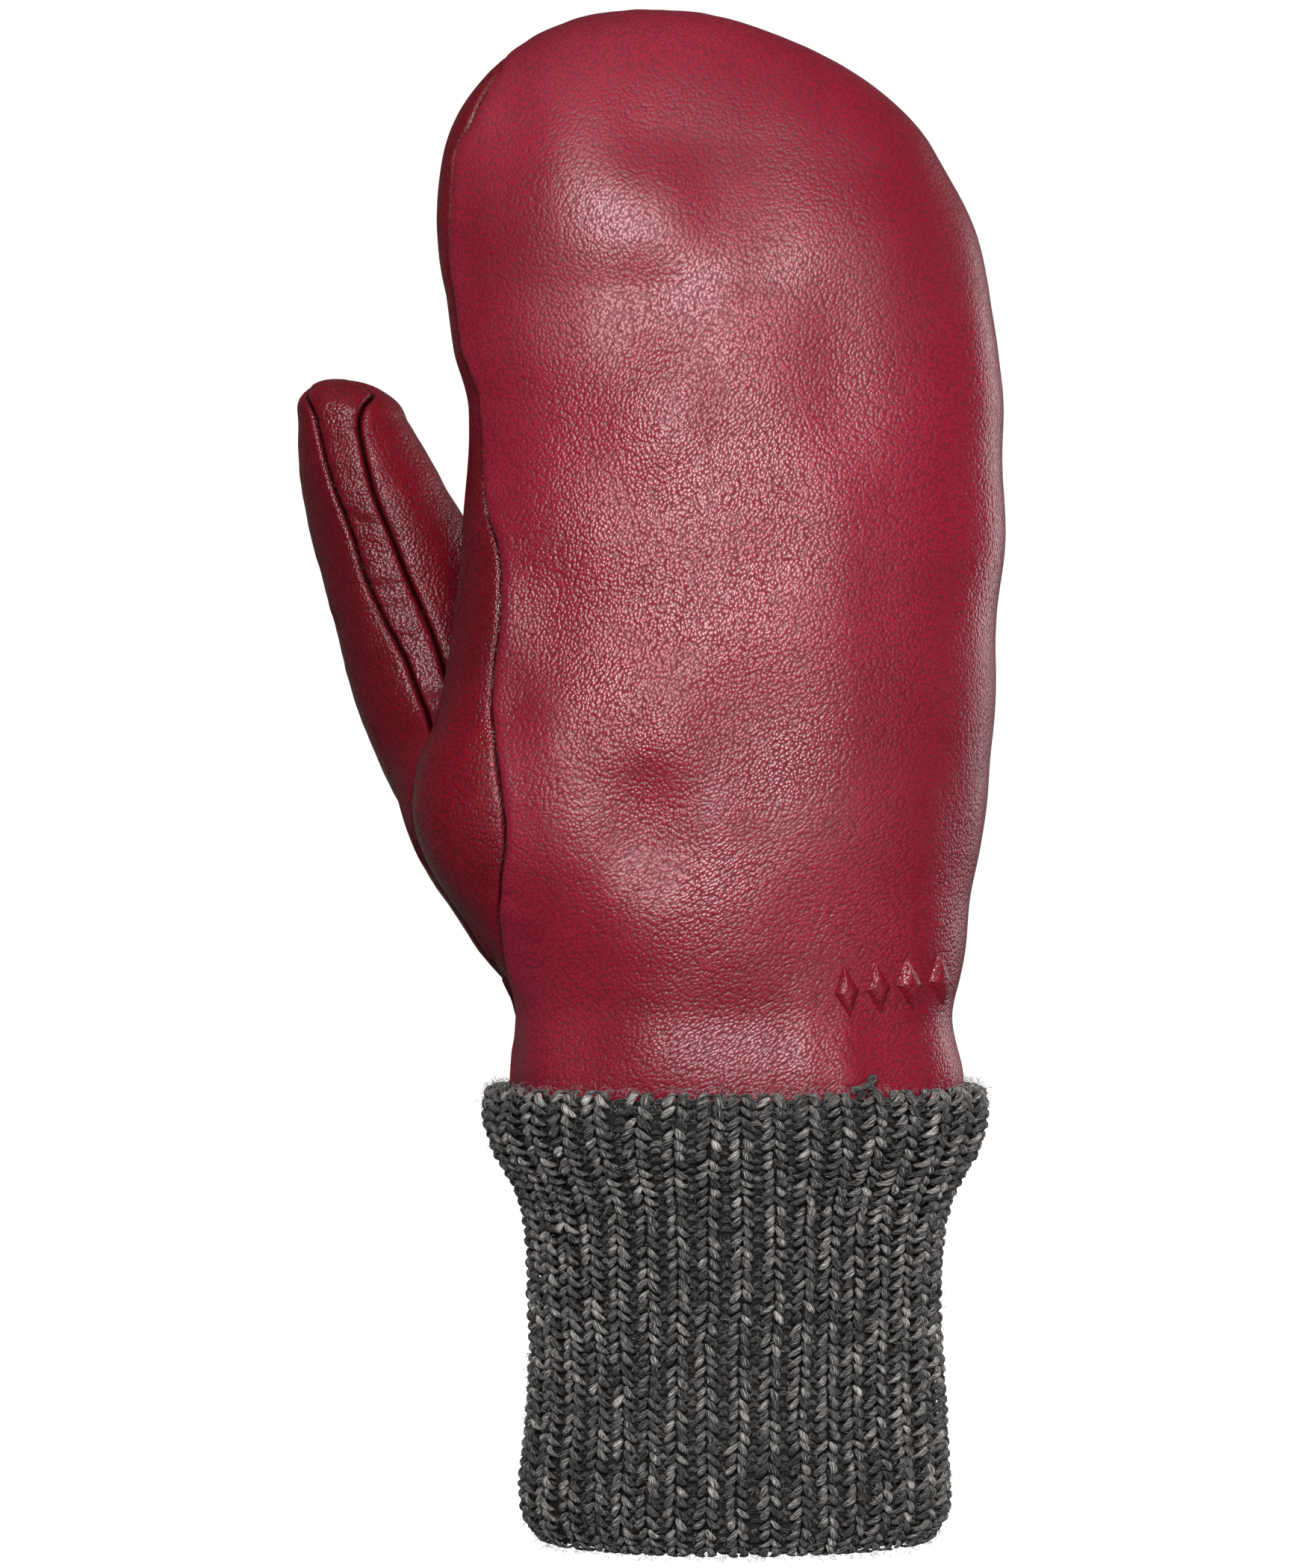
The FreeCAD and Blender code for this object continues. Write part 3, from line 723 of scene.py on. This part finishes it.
def inner_wall(name, skin, bottom, top, low, high, inset, thick, columns, rows, material):
    """A closed layer inside a bag: an outer and an inner face joined at their edges."""
    v = np.linspace(bottom, top, rows)[:, None]
    around = abs(high - low - TURN) < 1e-6
    angle = np.linspace(low, high, columns, endpoint=not around)[None, :]
    v, angle = np.broadcast_arrays(v, angle)
    points = np.stack([skin(v, angle, depth)[0] for depth in (inset, inset + thick)])
    count = rows * columns
    faces = grid_faces(rows, columns, around)
    parts = [faces, faces[:, ::-1] + count]
    across = np.arange(columns if around else columns - 1)
    following = (across + 1) % columns
    for start, flip in ((0, 1), (count - columns, -1)):
        here, after = start + across, start + following
        rim = np.stack([after, here, count + here, count + after], -1)
        parts.append(rim[:, ::flip])
    if not around:
        up = np.arange(rows - 1) * columns
        for start, flip in ((0, 1), (columns - 1, -1)):
            edge = up + start
            side = np.stack([edge, edge + columns, edge + columns + count, edge + count], -1)
            parts.append(side[:, ::flip])
    return make_piece(name, points, np.concatenate(parts)[:, ::-1], material)


TIP, THUMB_START = 0.985, 0.30
PADDING_START = float(hand.height_to_v(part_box("back_insulation_hand")[0].z / MM))
# The hand's two waddings stop short of the seams between them by this angle.
WADDING_GAP = 0.02
IN_HAND = (hand_skin, FINGER_BEND, ("hand", "fingers"))
IN_THUMB = (thumb_skin, THUMB_BEND, ("base", "tip"))


def layer(name, stem, place, start, low, high, inset, thick, columns, rows, material):
    """A layer inset below the leather, from the row start to the tip: it stands for the stem's two nodes."""
    skin, bend, ends = place
    piece = inner_wall(name, skin, start, TIP, low, high, inset, thick, columns, rows, material)
    slot = stem.split("_")[-1]
    bending(piece, bend, slot, *(f"{stem}_{end}" for end in ends))


layer("hand_membrane", "membrane", IN_HAND, 0.0, 0.0, TURN, 3.0, 0.3, 90, 70, FILM)
for side, low, high in (("back", RIGHT_SEAM, LEFT_SEAM), ("palm", LEFT_SEAM, RIGHT_SEAM + TURN)):
    layer(f"{side}_wadding", f"{side}_insulation", IN_HAND, PADDING_START, low + WADDING_GAP,
          high - WADDING_GAP, 3.5, 2.8, 60, 60, WADDING)
layer("hand_lining", "lining", IN_HAND, 0.0, 0.0, TURN, 6.5, 1.0, 110, 90, LINING)
layer("thumb_membrane", "thumb_membrane", IN_THUMB, THUMB_START, 0.0, TURN, 2.6, 0.3, 60, 50, FILM)
layer("thumb_wadding", "thumb_insulation", IN_THUMB, THUMB_START, 0.0, TURN, 3.1, 2.6, 60, 50, WADDING)
layer("thumb_lining", "thumb_lining", IN_THUMB, THUMB_START, 0.0, TURN, 5.9, 1.0, 60, 50, LINING)

# The elastic lies in the gap that the wadding leaves above the leather's hem.
elastic_rows = (float(hand.height_to_v(corner.z / MM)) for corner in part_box("wrist_elastic"))
riding(inner_wall("wrist_elastic_band", hand_skin, *elastic_rows, 0.0, TURN, 3.7, 1.6, 220, 8, ELASTIC),
       "wrist_elastic")

# The care label is a small blank tape, held by its lower edge and curling slightly away at the top.
label_low, label_high = (np.array(corner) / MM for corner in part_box("care_label"))
across, up = np.meshgrid(np.linspace(0, 1, 24), np.linspace(0, 1, 28))
label_points = np.stack([label_low[0] + across * (label_high[0] - label_low[0]),
                         label_high[1] - 0.5 * np.abs(2 * across - 1) ** 2 - 1.4 * up**2,
                         label_low[2] + up * (label_high[2] - label_low[2])], -1)
label = make_piece("care_label_tape", label_points, grid_faces(28, 24)[:, ::-1], LABEL)
riding(label, "care_label")


# ---- the raised motif ----------------------------------------------------------------------------------------

LOZENGES = 4
LOZENGE_RISE, LOZENGE_SLOPE = 1.35, 0.8
# Each mesh is this much larger than its lozenge, so that its rim can sink into the leather.
LOZENGE_MARGIN, LOZENGE_SINK = 1.35, 0.22


def raised_motif():
    """A row of pillow-shaped lozenges pressed up out of the leather."""
    low, high = (np.array(corner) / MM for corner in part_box("raised_motif"))
    centre_x, centre_z = (low[0] + high[0]) / 2, (low[2] + high[2]) / 2
    pitch, half_width, half_height, tilt = 6.4, 2.5, 5.6, math.radians(6)
    a, b = np.meshgrid(np.linspace(-1, 1, 41), np.linspace(-1, 1, 61))
    points, faces = [], []
    for number in range(LOZENGES):
        u = (a - b) / 2 * LOZENGE_MARGIN
        w = (a + b) / 2 * LOZENGE_MARGIN
        size = np.abs(u) + np.abs(w)
        rise = LOZENGE_RISE * np.clip((1 - size) / LOZENGE_SLOPE, 0, 1)
        rise = (LOZENGE_RISE * (1 - (1 - rise / LOZENGE_RISE) ** 2)
                - LOZENGE_SINK * np.clip((size - 1) / (LOZENGE_MARGIN - 1), 0, 1))
        across = u * half_width + (number - (LOZENGES - 1) / 2) * pitch
        x = centre_x + across * math.cos(tilt) + w * half_height * -math.sin(tilt)
        z = centre_z + across * math.sin(tilt) + w * half_height * math.cos(tilt)
        v = hand.height_to_v(z)
        angle = hand.angle_at(v, x)
        face = hand_skin(v, angle, rim=0.85)[0]
        points.append((face + hand.normal(v, angle) * rise[..., None]).reshape(-1, 3))
        faces.append(grid_faces(*a.shape)[:, ::-1] + number * a.size)
    points = np.concatenate(points)
    no_seam = np.full((len(points), 2), NO_SEAM)
    riding(make_piece("raised_lozenges", points, np.concatenate(faces), LEATHER, no_seam),
           "raised_motif")


raised_motif()


# ---- the knitted cuff ----------------------------------------------------------------------------------------

RIBS = 36
ROW = 2.2
RIB_PITCH = 6.2
MIDDLE = KNIT_THICK / 2
FOLD = (KNIT_THICK + KNIT_GAP) / 2
WALL_BOTTOM = MIDDLE + FOLD - 2.6
LIP_TURN, LIP_DROP = 1.5, 2.6
# The half width and half depth that space the ribs round the cuff.
CUFF_MEAN = (43.3, 27.0)


def cuff_profile():
    """The knit's middle surface down the outside, round the fold and up the inside: inset and height."""
    path = [(MIDDLE + LIP_TURN * (1 - math.cos(a)), CUFF_TOP - LIP_DROP + LIP_TURN * math.sin(a))
            for a in np.linspace(math.pi * 0.75, 0, 12)[:-1]]
    path += [(MIDDLE, z) for z in np.linspace(CUFF_TOP - LIP_DROP, WALL_BOTTOM, 120)]
    path += [(MIDDLE + FOLD * (1 - math.cos(a)), WALL_BOTTOM - FOLD * math.sin(a))
             for a in np.linspace(0, math.pi, 16)[1:]]
    path += [(MIDDLE + 2 * FOLD, z) for z in np.linspace(WALL_BOTTOM, INNER_KNIT_TOP - 1.0, 100)[1:]]
    return np.array(path)


def ellipse_turns(half_width, half_depth):
    """The angle for each share of the way round an oval, from its right end by way of the back."""
    turn = np.linspace(0, TURN, 2881)
    edge = np.stack([half_width * np.cos(turn), -half_depth * np.sin(turn)], -1)
    run = lengths(edge)
    return run / run[-1], turn


SHARE, TURNS = ellipse_turns(*(size - MIDDLE for size in CUFF_MEAN))


class Cuff:
    """The knit's middle surface, by length along a wale and by share of the way round."""

    def __init__(self, profile):
        inset, self.z = profile.T
        half_width, half_depth = smooth_curve(CUFF, np.maximum(self.z, WALL_BOTTOM)).T
        self.width, self.depth = half_width - inset, half_depth - inset
        self.run = lengths(np.stack([self.width, self.z], -1))
        self.length, self.fold_at = self.run[-1], self.run[np.argmin(self.z)]

    def at(self, s, share):
        turn = np.interp(share % 1.0, SHARE, TURNS)
        width, depth, z = (np.interp(s, self.run, line) for line in (self.width, self.depth, self.z))
        return together(width * np.cos(turn), -depth * np.sin(turn), z)

    def frame(self, s, share):
        """A point on the surface and the direction out of it."""
        along = self.at(s + 0.4, share) - self.at(s - 0.4, share)
        around = self.at(s, share + 0.002) - self.at(s, share - 0.002)
        return self.at(s, share), unit(np.cross(around, along))


cuff = Cuff(cuff_profile())


def wander(s, rib):
    """How far a rib strays sideways at each height, in millimetres."""
    place = together(s, rib * RIB_PITCH, 0.0)
    return 1.9 * noise(place, (38.0, 22.0, 1.0), 91) + 0.5 * noise(place, (14.0, 9.0, 1.0), 92)


def tube(line, normal, taper, radius_across, radius_out, sides):
    """Rings of points round a line, and their uv: the way round and the way along."""
    ahead = unit(np.gradient(line, axis=0))
    side = unit(np.cross(ahead, normal))
    out = np.cross(side, ahead)
    turn = np.linspace(0, TURN, sides, endpoint=False)[None, :, None]
    ring = side[:, None] * np.cos(turn) * radius_across + out[:, None] * np.sin(turn) * radius_out
    uv = together(turn[..., 0] / TURN * 4.0, lengths(line)[:, None])
    return line[:, None] + ring * taper[:, None, None], uv


def strand_template(centre, radius_across, radius_out, sections, sides):
    """A tapered tube round a line given by t: its points (across, along, out), uv, quads and end caps."""
    t = np.linspace(0, 1, sections)
    taper = 0.35 + 0.65 * np.sin(math.pi * np.clip(t, 0.04, 0.96)) ** 0.7
    points, uv = tube(centre(t), np.array([0.0, 0.0, 1.0]), taper, radius_across, radius_out, sides)
    caps = []
    for start, flip in ((0, 1), ((sections - 1) * sides, -1)):
        fan = [(start, start + k, start + k + 1) for k in range(1, sides - 1)]
        caps += [face[::flip] for face in fan]
    return points.reshape(-1, 3), uv.reshape(-1, 2), grid_faces(sections, sides, True)[:, ::-1], np.array(caps)


def leg_line(sign):
    def centre(t):
        return together(sign * (2.2 - 1.85 * t), 1.3 - 2.6 * t,
                        -1.3 + 1.35 * np.sin(math.pi * t) ** 0.8 + 1.25 * t)
    return centre


def purl_line(t):
    return together(-1.2 + 2.4 * t, 0.4 - 0.8 * np.sin(math.pi * t), -1.75 + 0.3 * np.sin(math.pi * t))


# A stitch's strands: 1 for a purl, middle line, radius across and outwards, and place between two ribs.
STRANDS = ((0, leg_line(-1), 0.78, 0.66, 0.0), (0, leg_line(1), 0.78, 0.66, 0.0),
           (1, purl_line, 0.66, 0.55, 0.5))
# How much the stitches differ in length, breadth, lean and place.
LONG_SPREAD, BROAD_SPREAD, LEAN_SPREAD = 0.10, 0.07, 0.13
ACROSS_SPREAD, ALONG_SPREAD, OUT_SPREAD = 0.10, 0.16, 0.12


def stitches(name, ribs, from_row, to_row, sections, sides):
    """All the stitches of some ribs, from one row to another, each a little different from the next."""
    rng = np.random.default_rng(1000 + ribs[0] * 7 + from_row)
    rows = np.arange(from_row, to_row)
    rib, row = (grid.ravel().astype(float) for grid in np.meshgrid(ribs, rows, indexing="ij"))
    n, count = len(rib), 0
    points, uvs, quads, caps = [], [], [], []

    def vary(spread):
        return spread * rng.standard_normal((n, 1))

    for purl, centre, across, out, shift in STRANDS:
        local, uv, faces, ends = strand_template(centre, across, out, sections - 2 * purl, sides - purl)
        scale, plump, lean = 1 + vary(LONG_SPREAD), 1 + vary(BROAD_SPREAD), vary(LEAN_SPREAD)
        a = local[:, 0] * plump + lean * local[:, 1] + vary(ACROSS_SPREAD)
        b = local[:, 1] * scale + vary(ALONG_SPREAD)
        c = local[:, 2] + vary(OUT_SPREAD)
        s = (row[:, None] + 0.5) * ROW + b
        place = wander(s, rib[:, None])
        share = (rib[:, None] + shift + (a + place) / RIB_PITCH) / RIBS
        uneven = 0.35 * noise(together(s, rib[:, None], 0.0), (22.0, 3.0, 1.0), 95)
        s = np.clip(s, 0.3, cuff.length - 0.3)
        flat = 0.75 * np.exp(-(((s - cuff.fold_at) / 4.5) ** 2)) + 0.45 * np.exp(-((s / 3.0) ** 2))
        c = c * (1 - flat) + 0.25 * flat + uneven * (1 - flat)
        base, normal = cuff.frame(s, share)
        points.append((base + normal * c[..., None]).reshape(-1, 3))
        offset = rng.uniform(0, 400, (n, 1, 2))
        # This marks the purl strands for the material's painted shade.
        offset[..., 1] += PURL_UV * purl
        uvs.append((uv[None] + offset).reshape(-1, 2))
        step = count + np.arange(n)[:, None, None] * len(local)
        quads.append((faces[None] + step).reshape(-1, 4))
        caps.append((ends[None] + step).reshape(-1, 3))
        count += n * len(local)
    return make_piece(name, np.concatenate(points), np.concatenate(quads), KNIT, np.concatenate(uvs),
                      np.concatenate(caps))


def knit_part(piece):
    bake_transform(piece)


ALL_ROWS = int(cuff.length / ROW)
FOLD_ROW = int(cuff.fold_at / ROW) + 2
# The outside is four sectors of fine strands, and the inside two of coarser ones.
for name, sectors, first, last, sections, sides in (("cuff_ribs", 4, 0, FOLD_ROW, 7, 8),
                                                    ("cuff_inner_ribs", 2, FOLD_ROW, ALL_ROWS, 5, 6)):
    for number in range(sectors):
        some = np.arange(number * RIBS // sectors, (number + 1) * RIBS // sectors)
        knit_part(stitches(f"{name}_{number + 1}", some, first, last, sections, sides))

# The near-black ground behind the stitches closes the fabric; its darkness is painted shade for the depths
# between the strands.
ground_s, ground_share = np.meshgrid(np.linspace(0.2, cuff.length - 0.2, 160), np.arange(220) / 220,
                                     indexing="ij")
ground_at, ground_out = cuff.frame(ground_s, ground_share)
ground_depth = (1.6 - 1.1 * np.exp(-(((ground_s - cuff.fold_at) / 5.0) ** 2))
                - 0.7 * np.exp(-((ground_s / 3.0) ** 2)))
ground = make_piece("cuff_ground_painted_shade", ground_at - ground_out * ground_depth[..., None],
                    grid_faces(*ground_s.shape, True), KNIT_PAINTED_SHADE)
knit_part(ground)
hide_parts("cuff_knit", "cuff_collar", "cuff_root")


def fuzz(name, count, seed, low, high, reach, curl, lift, thick=0.055, sections=7):
    """Loose wool fibres, as thin three-sided tubes that start on the stitches and curl over them."""
    rng = np.random.default_rng(seed)
    s = rng.uniform(low, high, count)
    share = rng.uniform(0, 1, count)
    base, normal = cuff.frame(s, share)
    start = base + normal * rng.uniform(0.2, 1.2, count)[:, None]
    heading = unit(rng.standard_normal((count, 3)) + normal * lift)
    bend = unit(rng.standard_normal((count, 3)))
    span = rng.uniform(0.5, 1.0, count) * reach
    points = []
    angle = curl * rng.uniform(0.4, 1.0, count)
    side = unit(np.cross(heading, bend))
    position = start
    for step in np.linspace(0, 1, sections):
        direction = heading * np.cos(angle * step)[:, None] + side * np.sin(angle * step)[:, None]
        position = position + direction * (span / sections)[:, None]
        cross = unit(np.cross(direction, bend))
        other = np.cross(direction, cross)
        radius = thick * (1 - 0.6 * step)
        points.append(np.stack([position + radius * (cross * math.cos(k) + other * math.sin(k))
                                for k in (0, TURN / 3, 2 * TURN / 3)], 1))
    points = np.stack(points, 1)
    faces = grid_faces(sections, 3, True)
    quads = faces[None] + (np.arange(count) * sections * 3)[:, None, None]
    shade = rng.uniform(0, 300, count)[:, None, None]
    uv = together(shade, np.zeros((1, sections, 3)))
    return make_piece(name, points, quads.reshape(-1, 4), FUZZ, uv)


knit_part(fuzz("cuff_fuzz", 14000, 5, 1.0, cuff.fold_at + 3, 2.2, 3.2, 0.5))
knit_part(fuzz("cuff_edge_fuzz", 1000, 6, 0.2, 5.0, 4.2, 4.5, 0.9))


def yarn_end(share=0.145, below_edge=1.2, radius=0.62, sections=40, sides=10):
    """The knit's fastened end: a small loop of yarn on the top edge, this share of the way round."""
    t = np.linspace(0, 1, sections)
    base, normal = cuff.frame(np.full(sections, below_edge), np.full(sections, share))
    around = unit(cuff.at(below_edge, share + 0.002) - cuff.at(below_edge, share - 0.002))
    across = -3.2 + 6.0 * t + 1.5 * np.sin(TURN * 1.5 * t)
    up = -0.6 + 2.3 * np.sin(math.pi * t) ** 1.2 - 0.5 * np.cos(TURN * 1.5 * t)
    line = base + around * across[:, None] + np.array([0, 0, 1.0]) * up[:, None] + normal * (
        1.3 + 0.5 * np.sin(TURN * t))[:, None]
    taper = np.clip(8 * np.minimum(t, 1 - t) + 0.3, 0, 1)
    ring, uv = tube(line, normal, taper, radius, radius, sides)
    return make_piece("cuff_yarn_end", ring, grid_faces(sections, sides, True), KNIT, uv)


knit_part(yarn_end())


# ---- camera, light and floor ---------------------------------------------------------------------------------

FLOOR_HALF, FLOOR_HEIGHT = 3000.0, -2.8
WORLD_LIGHT, WORLD_SEEN = 0.12, 1.05
# The camera is 1 m away, where it sees this height in metres.
SENSOR, SEEN_HEIGHT = 24.0, 0.3267
paint = Finish("studio_floor_paint", Roughness=0.9, Specular_IOR_Level=0.1, Emission_Strength=1.0)
paint.colour((0.45, 0.45, 0.45))
paint.shader.inputs["Emission Color"].default_value = (1, 1, 1, 1)
corners = [(x * FLOOR_HALF, y * FLOOR_HALF, FLOOR_HEIGHT) for x, y in ((-1, -1), (1, -1), (1, 1), (-1, 1))]
floor = make_piece("studio_floor", corners, [(0, 1, 2, 3)], paint.material)
floor.visible_diffuse = floor.visible_glossy = False

world = bpy.data.worlds.new("studio")
world.use_nodes = True
bpy.context.scene.world = world
tree = world.node_tree
back = tree.nodes["Background"]
back.inputs["Color"].default_value = (1, 1, 1, 1)
seen = tree.nodes.new("ShaderNodeLightPath").outputs["Is Camera Ray"]
level = tree.nodes.new("ShaderNodeMapRange")
tree.links.new(seen, level.inputs["Value"])
level.inputs["To Min"].default_value, level.inputs["To Max"].default_value = WORLD_LIGHT, WORLD_SEEN
tree.links.new(level.outputs[0], back.inputs["Strength"])


def area_light(name, position, target, width, height, power, diffuse=True, glossy=True):
    light = bpy.data.lights.new(name, "AREA")
    light.shape, light.size, light.size_y, light.energy = "RECTANGLE", width, height, power
    lamp = bpy.data.objects.new(name, light)
    lamp.location = position
    lamp.visible_diffuse, lamp.visible_glossy = diffuse, glossy
    lamp.rotation_euler = (Vector(target) - Vector(position)).to_track_quat("-Z", "Y").to_euler()
    bpy.context.scene.collection.objects.link(lamp)


area_light("key_light", (0.06, -1.15, 0.62), (0, 0, 0.16), 0.5, 0.5, 18.0, glossy=False)
area_light("shine_light", (-0.21, -1.22, 0.49), (0, 0, 0.17), 0.30, 0.48, 14.0, diffuse=False)
area_light("low_fill", (0.42, -1.3, 0.05), (0, 0, 0.12), 1.2, 1.2, 2.6)
area_light("top_light", (-0.2, -0.3, 1.2), (0, 0, 0.15), 0.8, 0.8, 0.8)
area_light("palm_light", (0.55, 1.15, 0.55), (0, 0, 0.16), 0.8, 0.8, 13.0, glossy=False)
area_light("palm_fill", (-0.75, 1.0, 0.15), (0, 0, 0.16), 1.0, 1.0, 9.0, glossy=False)
area_light("side_shine", (1.3, 0.75, 0.38), (0, 0, 0.17), 0.6, 0.9, 7.0)

camera_data = bpy.data.cameras.new("photo_camera")
camera_data.sensor_fit = "VERTICAL"
camera_data.sensor_height = SENSOR
camera_data.lens = SENSOR / SEEN_HEIGHT
camera_data.clip_start = 0.05
camera = bpy.data.objects.new("photo_camera", camera_data)
camera.location = (-0.01705, -1.0, 0.1561)
camera.rotation_euler = (math.pi / 2, 0, 0)
bpy.context.scene.collection.objects.link(camera)
bpy.context.scene.camera = camera
bpy.context.scene.view_settings.view_transform = "Standard"
